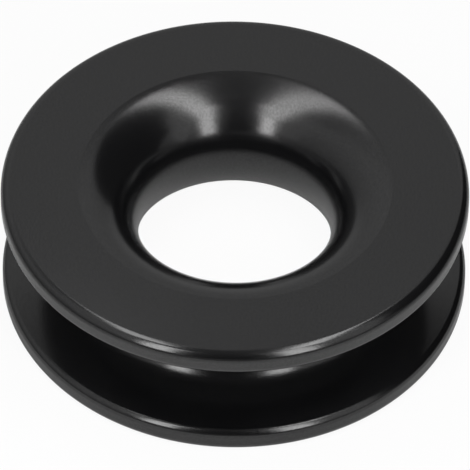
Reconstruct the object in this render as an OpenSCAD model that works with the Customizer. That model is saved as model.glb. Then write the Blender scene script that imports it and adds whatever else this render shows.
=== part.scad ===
// Recovery ring: a one-piece turned aluminium ring that a winch rope runs round in place of a pulley.
// A soft shackle through the eye holds it, and the rope slides in the groove round its rim.
// The axis is Z and the lower flat face lies on Z = 0.

/* [Ring] */
// Diameter over the two flanges
outer_d = 121; // [110:1:140]
// Thickness from one flat face to the other
thickness = 36; // [35:0.5:44]

/* [Eye] */
// Diameter of the eye at its waist, halfway through the ring
eye_d = 50; // [40:0.5:56]
// Angle that each bell mouth of the eye still makes with the flat face where they meet
mouth_angle = 8; // [2:0.5:30]

/* [Rope groove] */
// Depth of the groove, measured in from the flange rims
groove_depth = 18.7; // [13:0.1:20]
// Radius of the groove's round bottom
groove_bottom_r = 9; // [6:0.1:9.5]
// Angle that each flank of the groove opens outwards from square to the axis
flank_angle = 13; // [4:0.5:15]

/* [Edges] */
// Radius of the round on each flange's outer corner
rim_round = 2.6; // [0.6:0.1:2.8]
// Radius of the round on each lip of the groove
lip_round = 2.2; // [0.4:0.1:2.4]

/* [Hidden] */

outer_r = outer_d / 2;
mid_z = thickness / 2;

// The eye's wall is one arc from face to face, centred level with the middle of the ring.
mouth_arc_r = mid_z / cos(mouth_angle);
mouth_centre_r = eye_d / 2 + mouth_arc_r;

// Each flank is let this far into the rounds that it touches, so that it meets each in one edge.
seat = 0.0005;

// Each flank leaves the round bottom of the groove where the two touch.
groove_centre_r = outer_r - groove_depth + groove_bottom_r;
flank_foot_r = groove_centre_r - (groove_bottom_r - seat) * sin(flank_angle);
flank_foot_h = (groove_bottom_r - seat) * cos(flank_angle);

// The lip's round touches both the rim and the flank; its centre lies this far from the middle.
rim_half_gap = flank_foot_h + (outer_r - flank_foot_r) * tan(flank_angle);
lip_centre_h = rim_half_gap + lip_round * (1 / cos(flank_angle) - tan(flank_angle)) - seat;

// How far a cutting outline runs past the metal that it cuts
over = 1;
// Segments in each full circle
$fn = 240;

// Outline of the metal before the groove is cut: radius along X, height along Y
module blank_outline() {
    intersection() {
        square([outer_r, thickness]);
        union() {
            translate([mouth_centre_r, mid_z]) circle(mouth_arc_r);
            translate([mouth_centre_r, -over]) square([outer_r, thickness + 2 * over]);
        }
    }
}

// Outline of the rope groove about its own middle line, open towards the rim
module groove_outline() {
    cut_r = outer_r + over;
    cut_h = rim_half_gap + over * tan(flank_angle);
    translate([groove_centre_r, 0]) circle(groove_bottom_r);
    polygon([
        [flank_foot_r, -flank_foot_h],
        [cut_r, -cut_h],
        [cut_r, cut_h],
        [flank_foot_r, flank_foot_h]
    ]);
}

// What the round takes off the groove's upper lip, between the rim and the flank
module lip_waste() {
    reach = lip_round + over;
    translate([outer_r - lip_round, lip_centre_h]) {
        difference() {
            polygon([
                [0, 0],
                [reach * sin(flank_angle), -reach * cos(flank_angle)],
                [reach, -reach * cos(flank_angle)],
                [reach, 0]
            ]);
            circle(lip_round);
        }
    }
}

// What the round takes off the upper flange's outer corner
module rim_waste() {
    translate([outer_r - rim_round, mid_z - rim_round]) {
        difference() {
            square(rim_round + over);
            circle(rim_round);
        }
    }
}

// Both rounds of the upper flange
module flange_wastes() {
    lip_waste();
    rim_waste();
}

// Half section of the finished ring. The lower flange mirrors the upper one.
module ring_outline() {
    difference() {
        blank_outline();
        translate([0, mid_z]) {
            groove_outline();
            flange_wastes();
            mirror([0, 1]) flange_wastes();
        }
    }
}

module ring() {
    color([0.09, 0.09, 0.095]) rotate_extrude() ring_outline();
}

ring();
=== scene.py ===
"""Looks of a turned, black anodised aluminium recovery ring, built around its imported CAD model.

The ring is one surface of revolution. Its half section is a closed line of arcs and straights, worked out
from the same sizes as the CAD part, and every face of the mesh comes from turning that line about Z.
"""

import logging
import math
from dataclasses import dataclass, field
from enum import Enum

import bpy
import numpy as np
from mathutils import Matrix, Vector


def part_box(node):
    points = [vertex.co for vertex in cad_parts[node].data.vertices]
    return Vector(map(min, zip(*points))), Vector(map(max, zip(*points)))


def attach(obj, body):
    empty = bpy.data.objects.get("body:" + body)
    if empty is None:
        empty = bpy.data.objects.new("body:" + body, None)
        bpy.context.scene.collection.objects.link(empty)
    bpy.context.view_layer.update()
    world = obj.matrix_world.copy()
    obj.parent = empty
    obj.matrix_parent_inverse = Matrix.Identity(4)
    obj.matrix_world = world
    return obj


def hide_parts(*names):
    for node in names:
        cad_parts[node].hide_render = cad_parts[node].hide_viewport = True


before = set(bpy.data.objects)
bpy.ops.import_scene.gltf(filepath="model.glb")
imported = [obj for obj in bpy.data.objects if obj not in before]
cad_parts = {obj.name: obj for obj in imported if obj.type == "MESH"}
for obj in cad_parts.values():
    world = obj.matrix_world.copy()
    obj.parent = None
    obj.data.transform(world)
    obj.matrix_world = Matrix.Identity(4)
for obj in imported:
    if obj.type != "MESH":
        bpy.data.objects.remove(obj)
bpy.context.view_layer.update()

MM = 0.001

log = logging.getLogger("recovery_ring")


def linear(hex_colour: str, alpha: float = 1.0) -> tuple[float, float, float, float]:
    """Turns an sRGB hex colour into the linear colour that a shader socket takes.

    Args:
        hex_colour: The colour as "#RRGGBB".
        alpha: The fourth number, passed on as it is.

    Returns:
        Red, green, blue and alpha, with the first three linear.
    """
    channels = [int(hex_colour[i:i + 2], 16) / 255 for i in (1, 3, 5)]
    light = [c / 12.92 if c <= 0.04045 else ((c + 0.055) / 1.055) ** 2.4 for c in channels]
    return (light[0], light[1], light[2], alpha)


def add_node(
    tree: bpy.types.NodeTree,
    kind: str,
    settings: dict[str, object] | None = None,
    links: dict[str | int, bpy.types.NodeSocket] | None = None,
) -> bpy.types.Node:
    """Adds one shader node with its settings and incoming links.

    Args:
        tree: The node tree that gets the node.
        kind: The node's type, such as "ShaderNodeBump".
        settings: Input sockets to set, by name or number, or properties of the node, by name.
        links: Sockets of other nodes to link to this node's inputs, by the input's name or number.

    Returns:
        The new node.
    """
    node = tree.nodes.new(kind)
    for name, value in (settings or {}).items():
        if isinstance(name, str) and hasattr(node, name):
            setattr(node, name, value)
        else:
            node.inputs[name].default_value = value
    for name, source in (links or {}).items():
        tree.links.new(source, node.inputs[name])
    return node


@dataclass(frozen=True)
class BlackAnodisedAluminium:
    """Aluminium, turned, fine blasted and hard anodised black.

    The dyed oxide film is clear, hard and glassy over a black ground, so the surface is nearly black by
    itself and takes its greys from what it mirrors. The blasting under the film makes the mirror satin: a
    lamp shows as a soft bar with a fine speckle in it.
    """

    name: str = "black_anodised_aluminium"
    slot: str = "black_anodised"
    film: str = "#0C0C0D"
    ior: float = 1.6
    roughness: float = 0.18
    roughness_swing: float = 0.02
    # Blasting leaves pits of 0.05 mm, too fine to show, so they are drawn at the size of a pixel or so.
    pit_mm: float = 0.5
    pit_depth_mm: float = 0.01
    # Some pits catch more of the light than others, so the mirror is a little duller there.
    gloss_swing: float = 0.07
    # Handling and the dye bath leave broad, faint changes of sheen.
    cloud_mm: float = 14.0

    def build(self) -> bpy.types.Material:
        """Makes the node material.

        Returns:
            The finished material.
        """
        material = bpy.data.materials.new(self.name)
        material.use_nodes = True
        tree = material.node_tree
        tree.nodes.clear()
        place = add_node(tree, "ShaderNodeTexCoord").outputs["Object"]
        pits = add_node(
            tree,
            "ShaderNodeTexNoise",
            {"Scale": 1 / (self.pit_mm * MM), "Detail": 2.0, "Roughness": 0.6},
            {"Vector": place},
        )
        clouds = add_node(
            tree,
            "ShaderNodeTexNoise",
            {"Scale": 1 / (self.cloud_mm * MM), "Detail": 3.0, "Roughness": 0.55},
            {"Vector": place},
        )
        mottle = add_node(
            tree,
            "ShaderNodeMix",
            {"data_type": "FLOAT", "Factor": 0.45},
            {"A": pits.outputs["Fac"], "B": clouds.outputs["Fac"]},
        )
        rough = add_node(
            tree,
            "ShaderNodeMapRange",
            {
                "From Min": 0.3,
                "From Max": 0.7,
                "To Min": self.roughness - self.roughness_swing,
                "To Max": self.roughness + self.roughness_swing,
            },
            {"Value": mottle.outputs["Result"]},
        )
        gloss = add_node(
            tree,
            "ShaderNodeMapRange",
            {
                "From Min": 0.35,
                "From Max": 0.65,
                "To Min": 0.5 - self.gloss_swing,
                "To Max": 0.5 + self.gloss_swing,
            },
            {"Value": pits.outputs["Fac"]},
        )
        bump = add_node(
            tree,
            "ShaderNodeBump",
            {"Strength": 1.0, "Distance": self.pit_depth_mm * MM},
            {"Height": pits.outputs["Fac"]},
        )
        shader = add_node(
            tree,
            "ShaderNodeBsdfPrincipled",
            {"Base Color": linear(self.film), "Metallic": 0.0, "IOR": self.ior},
            {
                "Roughness": rough.outputs["Result"],
                "Specular IOR Level": gloss.outputs["Result"],
                "Normal": bump.outputs["Normal"],
            },
        )
        add_node(tree, "ShaderNodeOutputMaterial", links={"Surface": shader.outputs["BSDF"]})
        return material


@dataclass
class Ring:
    """The ring, turned from one blank.

    Sizes are in millimetres. The outer diameter and the thickness come from the CAD node's box.
    """

    finish: BlackAnodisedAluminium
    name: str = "recovery_ring"
    node: str = "ring"
    eye_d: float = 50.0
    mouth_angle: float = 8.0
    groove_depth: float = 18.7
    groove_bottom_r: float = 9.0
    flank_angle: float = 13.0
    rim_round: float = 2.6
    lip_round: float = 2.2
    around: int = 384
    outer_r: float = field(init=False)
    thickness: float = field(init=False)

    def __post_init__(self) -> None:
        """Reads the outer radius and the thickness off the CAD node."""
        low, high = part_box(self.node)
        self.outer_r = high.x / MM
        self.thickness = (high.z - low.z) / MM

    @staticmethod
    def arc(centre: tuple[float, float], radius: float, start: float, end: float, step: float) -> np.ndarray:
        """Points along an arc, as radius and height.

        Each point is the centre plus the radius times (cosine, sine) of an angle that runs evenly from start
        to end.

        Args:
            centre: The arc's centre, as radius and height in millimetres.
            radius: The arc's radius in millimetres.
            start: The first angle in degrees, counted from outwards towards up.
            end: The last angle in degrees.
            step: The widest angle between two points, in degrees.

        Returns:
            An array of points, one per row.
        """
        count = max(2, int(math.ceil(abs(end - start) / step)) + 1)
        angle = np.radians(np.linspace(start, end, count))
        return np.stack([centre[0] + radius * np.cos(angle), centre[1] + radius * np.sin(angle)], axis=1)

    def half_section(self) -> tuple[np.ndarray, np.ndarray]:
        """Works out the upper half of the section, from the eye's waist over the top to the groove's bottom.

        The eye's wall is an arc centred on the middle plane. The flat face follows, then the rim's round,
        the rim, the lip's round, the straight flank and half of the groove's round bottom. Each round is an
        arc that starts and ends where it touches its neighbours. Where a flat or straight meets an arc it
        has one more point close by, so that shading by averaged normals stays flat up to the arc.

        Returns:
            The points as radius and height above the middle plane, and a mask of the points on a sharp edge.
        """
        half = self.thickness / 2
        tilt = math.radians(self.flank_angle)
        mouth_r = half / math.cos(math.radians(self.mouth_angle))
        mouth_x = self.eye_d / 2 + mouth_r
        crease_x = mouth_x - half * math.tan(math.radians(self.mouth_angle))
        bottom_x = self.outer_r - self.groove_depth + self.groove_bottom_r
        foot_x = bottom_x - self.groove_bottom_r * math.sin(tilt)
        foot_z = self.groove_bottom_r * math.cos(tilt)
        gap_z = foot_z + (self.outer_r - foot_x) * math.tan(tilt)
        lip_z = gap_z + self.lip_round * (1 / math.cos(tilt) - math.tan(tilt))
        lip_x = self.outer_r - self.lip_round
        near = 0.06

        mouth = self.arc((mouth_x, 0.0), mouth_r, 180.0, 90.0 + self.mouth_angle, 1.7)
        face_end = self.outer_r - self.rim_round
        face = np.array([[x, half] for x in (*np.linspace(crease_x, face_end, 7)[1:-1], face_end - near)])
        rim = self.arc((face_end, half - self.rim_round), self.rim_round, 90.0, 0.0, 5.0)
        land = np.array([
            [self.outer_r, half - self.rim_round - near],
            [self.outer_r, lip_z + near],
        ])
        lip = self.arc((lip_x, lip_z), self.lip_round, 0.0, self.flank_angle - 90.0, 5.0)
        along = np.array([foot_x, foot_z]) - lip[-1]
        length = float(np.hypot(*along))
        shares = np.array([near / length, 0.25, 0.5, 0.75, 1 - near / length])
        flank = lip[-1] + shares[:, None] * along
        bottom = self.arc(
            (bottom_x, 0.0), self.groove_bottom_r, 90.0 + self.flank_angle, 180.0, 3.0
        )
        points = np.concatenate([mouth, face, rim, land, lip, flank, bottom])
        sharp = np.zeros(len(points), dtype=bool)
        sharp[len(mouth) - 1] = True
        return points, sharp

    def section(self) -> tuple[np.ndarray, np.ndarray]:
        """Joins the upper half section to its mirror image, as one closed line.

        The line runs from the eye's waist over the top and down the groove, then back under the lower flange
        to the waist. The waist and the groove's bottom are on the mirror plane and are kept once.

        Returns:
            The points as radius and height above the lower face, and a mask of the points on a sharp edge.
        """
        upper, sharp = self.half_section()
        lower = upper[-2:0:-1] * np.array([1.0, -1.0])
        points = np.concatenate([upper, lower])
        points[:, 1] += self.thickness / 2
        return points, np.concatenate([sharp, sharp[-2:0:-1]])

    def build(self) -> bpy.types.Object:
        """Turns the section about Z and dresses the mesh.

        A vertex is (r cos a, r sin a, z), for each point (r, z) of the closed section and each of the evenly
        spaced angles a. The faces join neighbours in both directions and wrap round in both.

        Returns:
            The ring, riding on the root body and standing for the CAD node.
        """
        points, sharp = self.section()
        rows, columns = len(points), self.around
        angle = np.linspace(0.0, 2 * np.pi, columns, endpoint=False)
        radius, height = points[:, :1] * MM, points[:, 1:] * MM
        grid = np.stack(
            [radius * np.cos(angle), radius * np.sin(angle), np.broadcast_to(height, (rows, columns))],
            axis=2,
        )
        row, column = np.meshgrid(np.arange(rows), np.arange(columns), indexing="ij")
        next_row, next_column = (row + 1) % rows, (column + 1) % columns
        quads = np.stack(
            [
                row * columns + column,
                next_row * columns + column,
                next_row * columns + next_column,
                row * columns + next_column,
            ],
            axis=2,
        ).reshape(-1, 4)

        mesh = bpy.data.meshes.new(self.name)
        mesh.vertices.add(rows * columns)
        mesh.vertices.foreach_set("co", grid.reshape(-1).astype(np.float32))
        mesh.loops.add(quads.size)
        mesh.loops.foreach_set("vertex_index", quads.reshape(-1).astype(np.int32))
        mesh.polygons.add(len(quads))
        mesh.polygons.foreach_set("loop_start", np.arange(0, quads.size, 4, dtype=np.int32))
        mesh.polygons.foreach_set("use_smooth", np.ones(len(quads), dtype=bool))
        mesh.update(calc_edges=True)
        ends = np.zeros(len(mesh.edges) * 2, dtype=np.int32)
        mesh.edges.foreach_get("vertices", ends)
        ends = ends.reshape(-1, 2) // columns
        hard = sharp[ends[:, 0]] & (ends[:, 0] == ends[:, 1])
        mesh.edges.foreach_set("use_edge_sharp", hard)
        mesh.validate()

        ring = bpy.data.objects.new(self.name, mesh)
        bpy.context.scene.collection.objects.link(ring)
        mesh.materials.append(self.finish.build())
        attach(ring, "root")
        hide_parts(self.node)
        return ring


class Use(Enum):
    """What a panel in the studio is for. The value is how the renderer looks for its light."""

    LAMP = "FRONT_BACK"
    CARD = "NONE"


def build_panel(name: str, use: Use, corners: np.ndarray, brightness: float) -> bpy.types.Object:
    """Makes one flat panel that gives off an even light and hides what is behind it.

    The camera doesn't see it. It shows in the ring's gloss and lights the floor.

    Args:
        name: The panel's name.
        use: Whether it is a lamp or a card.
        corners: Its four corners in metres, one per row, in order round it.
        brightness: Its brightness, where 1 is that of white paper.

    Returns:
        The panel.
    """
    mesh = bpy.data.meshes.new(name)
    mesh.from_pydata(corners.tolist(), [], [(0, 1, 2, 3)])
    panel = bpy.data.objects.new(name, mesh)
    bpy.context.scene.collection.objects.link(panel)
    panel.visible_camera = False
    material = bpy.data.materials.new(f"{name}_{use.name.lower()}")
    material.use_nodes = True
    material.cycles.emission_sampling = use.value
    tree = material.node_tree
    tree.nodes.clear()
    glow = add_node(tree, "ShaderNodeEmission", {"Strength": brightness})
    add_node(tree, "ShaderNodeOutputMaterial", links={"Surface": glow.outputs["Emission"]})
    mesh.materials.append(material)
    log.info("%s %s, brightness %.2f", use.name.lower(), name, brightness)
    return panel


@dataclass(frozen=True)
class StripLamp:
    """A straight, flat strip of light that faces the ring.

    Its two ends and its width are in metres, counted from the ring's middle. A brightness of 1 is that of
    white paper.
    """

    name: str
    start: tuple[float, float, float]
    end: tuple[float, float, float]
    width: float
    brightness: float

    def build(self, centre: Vector) -> bpy.types.Object:
        """Makes the lamp.

        Its corners are its two ends, plus and minus half the width along the line that is square both to the
        strip and to the way from the ring to the strip's middle.

        Args:
            centre: The ring's middle.

        Returns:
            The lamp.
        """
        start, end = np.array(self.start), np.array(self.end)
        across = np.cross(end - start, start + end)
        across *= self.width / 2 / np.linalg.norm(across)
        corners = np.stack([start - across, start + across, end + across, end - across])
        return build_panel(self.name, Use.LAMP, corners + np.array(centre), self.brightness)


@dataclass(frozen=True)
class Card:
    """A flat rectangular card that faces the ring and shows in its gloss.

    Azimuth runs from straight behind the ring, as the camera sees it, towards the right. Azimuth, elevation
    and the slant about the card's own facing line are in degrees. The distance from the ring's middle and
    the width and height are in metres. A brightness of 1 is that of white paper.
    """

    name: str
    azimuth: float
    elevation: float
    slant: float
    distance: float
    size: tuple[float, float]
    brightness: float

    def axes(self) -> np.ndarray:
        """Works out the card's own axes.

        The third points from the ring to the card. The second is as upright as it can be, and the first
        level, before both are turned about the third by the slant.

        Returns:
            The three axes, one per row: along the width, along the height and away from the ring.
        """
        around, up, turn = (math.radians(v) for v in (self.azimuth, self.elevation, self.slant))
        away = np.array([math.sin(around) * math.cos(up), math.cos(around) * math.cos(up), math.sin(up)])
        height = np.array([0.0, 0.0, 1.0]) - away * away[2]
        height /= np.linalg.norm(height)
        width = np.cross(height, away)
        slanted_width = width * math.cos(turn) + height * math.sin(turn)
        slanted_height = height * math.cos(turn) - width * math.sin(turn)
        return np.stack([slanted_width, slanted_height, away])

    def build(self, centre: Vector) -> bpy.types.Object:
        """Makes the card.

        Its corners are the middle plus or minus half the width and half the height along its own axes.

        Args:
            centre: The ring's middle.

        Returns:
            The card.
        """
        signs = np.array([[-1, -1], [1, -1], [1, 1], [-1, 1]]) / 2
        flat = np.hstack([signs * np.array(self.size), np.full((4, 1), self.distance)])
        return build_panel(self.name, Use.CARD, flat @ self.axes() + np.array(centre), self.brightness)


@dataclass
class Studio:
    """The white floor, the lamps and cards round the ring, and the camera of the photograph."""

    centre: Vector
    floor_size: float = 30.0
    # The floor lies a hair below the ring, so that the two flat faces aren't drawn over each other.
    floor_gap: float = 0.00005
    floor_colour: str = "#EAEAEA"
    camera_white: float = 0.94
    # Straight behind the ring the room is as bright low down as it is higher up. There the ramp below is
    # read no lower than this factor and offset make of the direction's share along Y.
    window: tuple[float, float] = (0.9, -0.45)
    # Brightness of the room against the sine of the elevation: from level to overhead
    room: tuple[tuple[float, float], ...] = ((0.0, 0.18), (0.3, 0.42), (0.67, 0.62), (0.8, 0.38), (0.95, 0.12))
    lens_mm: float = 466.6
    sensor_mm: float = 36.0
    distance: float = 1.5841
    elevation: float = 46.81
    roll: float = 0.725
    shift: tuple[float, float] = (0.00105, -0.00942)
    lamps: tuple[StripLamp, ...] = (
        StripLamp("front_right", (0.140, -0.288, 0.072), (0.127, -0.196, 0.418), 0.073, 6.84),
        StripLamp("overhead_right", (0.052, -0.083, 0.125), (0.0758, 0.188, 0.3885), 0.035, 6.19),
        StripLamp("side_right", (0.376, -0.290, 0.075), (0.069, -0.041, 0.191), 0.089, 0.78),
        StripLamp("front_left", (-0.145, -0.257, 0.080), (-0.139, -0.173, 0.429), 0.063, 7.55),
        StripLamp("overhead_left", (-0.046, -0.057, 0.098), (-0.058, 0.221, 0.373), 0.032, 5.15),
        StripLamp("side_left", (-0.142, -0.124, 0.067), (-0.077, -0.015, 0.143), 0.071, 0.62),
    )
    cards: tuple[Card, ...] = (
        Card("dark_side", 74.0, 27.0, 20.0, 1.9, (2.5, 2.9), 0.03),
        Card("dark_front", 187.2, 41.4, 83.3, 0.80, (0.88, 1.07), 0.03),
    )

    def build_floor(self) -> bpy.types.Object:
        """Makes the floor: pale cloth, nearly white to the camera, with the ring's faint shadow on it.

        Returns:
            The floor.
        """
        half = self.floor_size / 2
        signs = np.array([[-1, -1], [1, -1], [1, 1], [-1, 1]])
        corners = np.hstack([signs * half, np.full((4, 1), -self.floor_gap)])
        mesh = bpy.data.meshes.new("floor")
        mesh.from_pydata(corners.tolist(), [], [(0, 1, 2, 3)])
        floor = bpy.data.objects.new("floor", mesh)
        bpy.context.scene.collection.objects.link(floor)
        material = bpy.data.materials.new("white_floor")
        material.use_nodes = True
        tree = material.node_tree
        tree.nodes.clear()
        path = add_node(tree, "ShaderNodeLightPath")
        share = add_node(
            tree,
            "ShaderNodeMath",
            {"operation": "MULTIPLY", 1: self.camera_white},
            {0: path.outputs["Is Camera Ray"]},
        )
        cloth = add_node(tree, "ShaderNodeBsdfDiffuse", {"Color": linear(self.floor_colour)})
        white = add_node(tree, "ShaderNodeEmission", {"Strength": 1.0})
        mix = add_node(
            tree,
            "ShaderNodeMixShader",
            {},
            {0: share.outputs["Value"], 1: cloth.outputs["BSDF"], 2: white.outputs["Emission"]},
        )
        add_node(tree, "ShaderNodeOutputMaterial", links={"Surface": mix.outputs["Shader"]})
        mesh.materials.append(material)
        return floor

    def build_world(self) -> None:
        """Sets the surroundings: white behind the object to the camera, and a soft grey room for its gloss."""
        world = bpy.data.worlds.new("studio")
        world.use_nodes = True
        tree = world.node_tree
        tree.nodes.clear()
        path = add_node(tree, "ShaderNodeLightPath")
        direction = add_node(tree, "ShaderNodeTexCoord").outputs["Generated"]
        split = add_node(tree, "ShaderNodeSeparateXYZ", links={"Vector": direction})
        window = add_node(
            tree,
            "ShaderNodeMath",
            {"operation": "MULTIPLY_ADD", 1: self.window[0], 2: self.window[1]},
            {0: split.outputs["Y"]},
        )
        height = add_node(
            tree,
            "ShaderNodeMath",
            {"operation": "MAXIMUM"},
            {0: split.outputs["Z"], 1: window.outputs["Value"]},
        )
        ramp = add_node(tree, "ShaderNodeValToRGB", links={"Fac": height.outputs["Value"]})
        stops = ramp.color_ramp.elements
        while len(stops) < len(self.room):
            stops.new(1.0)
        for stop, (place, level) in zip(stops, self.room):
            stop.position, stop.color = place, (level, level, level, 1.0)
        room = add_node(tree, "ShaderNodeBackground", {"Strength": 1.0}, {"Color": ramp.outputs["Color"]})
        white = add_node(tree, "ShaderNodeBackground", {"Strength": 1.0, "Color": (1.0, 1.0, 1.0, 1.0)})
        mix = add_node(
            tree,
            "ShaderNodeMixShader",
            {},
            {
                0: path.outputs["Is Camera Ray"],
                1: room.outputs["Background"],
                2: white.outputs["Background"],
            },
        )
        add_node(tree, "ShaderNodeOutputWorld", links={"Surface": mix.outputs["Shader"]})
        bpy.context.scene.world = world

    def build_camera(self) -> bpy.types.Object:
        """Makes the camera at the photograph's angle and sets it as the scene's.

        Returns:
            The camera.
        """
        data = bpy.data.cameras.new("camera")
        data.lens, data.sensor_width = self.lens_mm, self.sensor_mm
        data.shift_x, data.shift_y = self.shift
        data.clip_start, data.clip_end = 0.05, 100.0
        camera = bpy.data.objects.new("camera", data)
        bpy.context.scene.collection.objects.link(camera)
        up = math.radians(self.elevation)
        place = Vector((0.0, -math.cos(up), math.sin(up))) * self.distance
        turn = Matrix.Rotation(math.radians(90.0) - up, 4, "X")
        roll = Matrix.Rotation(math.radians(self.roll), 4, "Z")
        camera.matrix_world = Matrix.Translation(self.centre + place) @ turn @ roll
        bpy.context.scene.camera = camera
        return camera

    def build(self) -> None:
        """Builds the floor, the surroundings, every lamp and card, and the camera."""
        self.build_floor()
        self.build_world()
        for light in (*self.lamps, *self.cards):
            light.build(self.centre)
        camera = self.build_camera()
        log.info("camera %.3f m from the ring's middle", (camera.location - self.centre).length)
        bpy.context.scene.view_settings.view_transform = "Standard"


def corners(box: tuple[Vector, Vector]) -> list[list[float]]:
    """Turns a box into plain lists of numbers."""
    return [list(corner) for corner in box]


def main() -> None:
    logging.basicConfig(level=logging.INFO, format="%(name)s: %(message)s")
    ring = Ring(finish=BlackAnodisedAluminium())
    piece = ring.build()
    log.info("%s: %d faces, %.1f mm across", piece.name, len(piece.data.polygons), 2 * ring.outer_r)
    low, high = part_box(ring.node)
    Studio(centre=(low + high) / 2).build()


if __name__ == "__main__":
    main()
